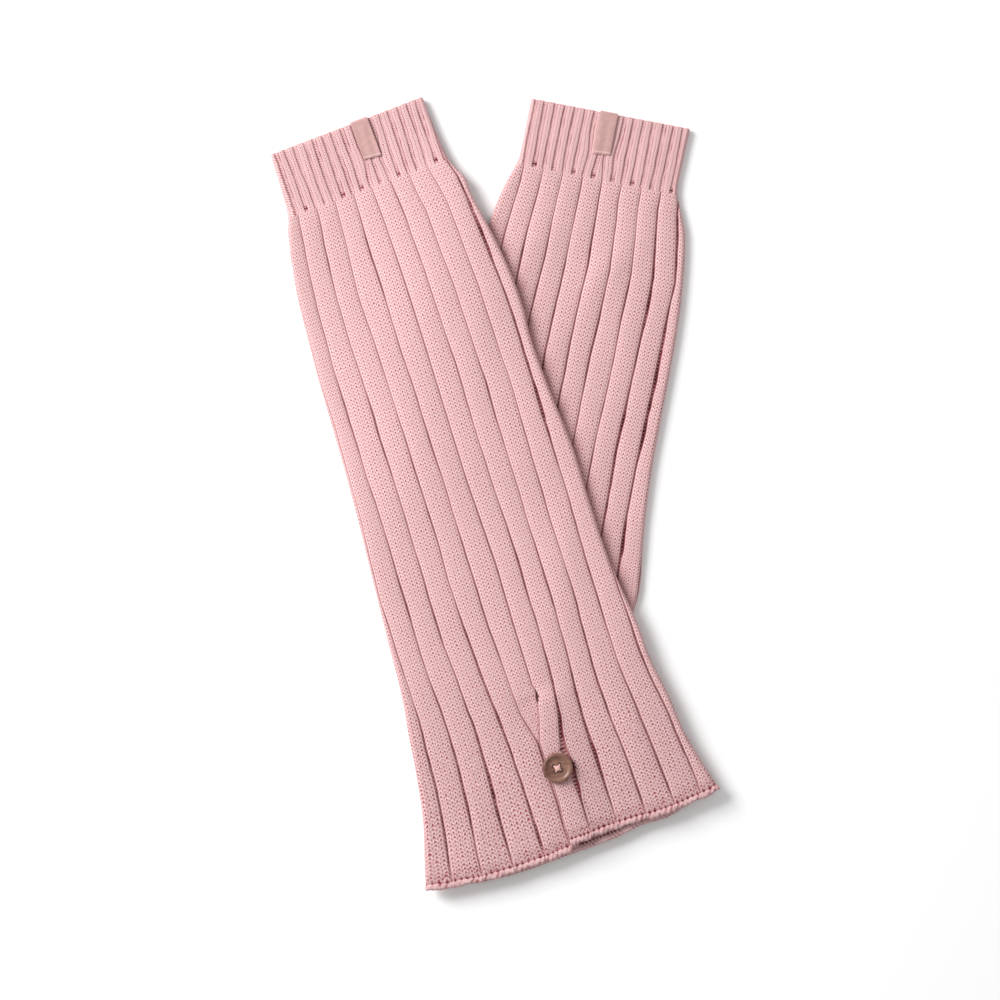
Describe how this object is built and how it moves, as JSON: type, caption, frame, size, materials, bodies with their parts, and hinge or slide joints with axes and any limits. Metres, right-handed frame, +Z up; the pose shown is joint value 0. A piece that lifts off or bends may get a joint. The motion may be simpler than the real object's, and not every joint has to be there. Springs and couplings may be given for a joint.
{
  "type": "pair of leg warmers",
  "caption": "Two flared rib-knit leg warmers laid flat and crossed, each with a narrow ribbed cuff and a tape label; the upper one has a buttoned vent at its hem.",
  "frame": {"origin": "on the surface that the pair lies on, under the middle of its overall outline", "axes": "+Z up from the surface, +Y towards the cuffs and along the longest extent, +X to the right with the cuffs away from the viewer"},
  "size_m": [0.2414, 0.4262, 0.0145],
  "materials": {
    "pink_knit": "matte rib knit in fine plied yarn",
    "label_tape": "smooth narrow woven tape",
    "button_horn": "semi-gloss brown horn-like resin, four holes"
  },
  "bodies": {
    "root": {"upper_body": "pink_knit", "upper_cuff": "pink_knit", "upper_label": "label_tape", "vent_button": "button_horn", "lower_body": "pink_knit", "lower_cuff": "pink_knit", "lower_label": "label_tape"}
  },
  "joints": []
}
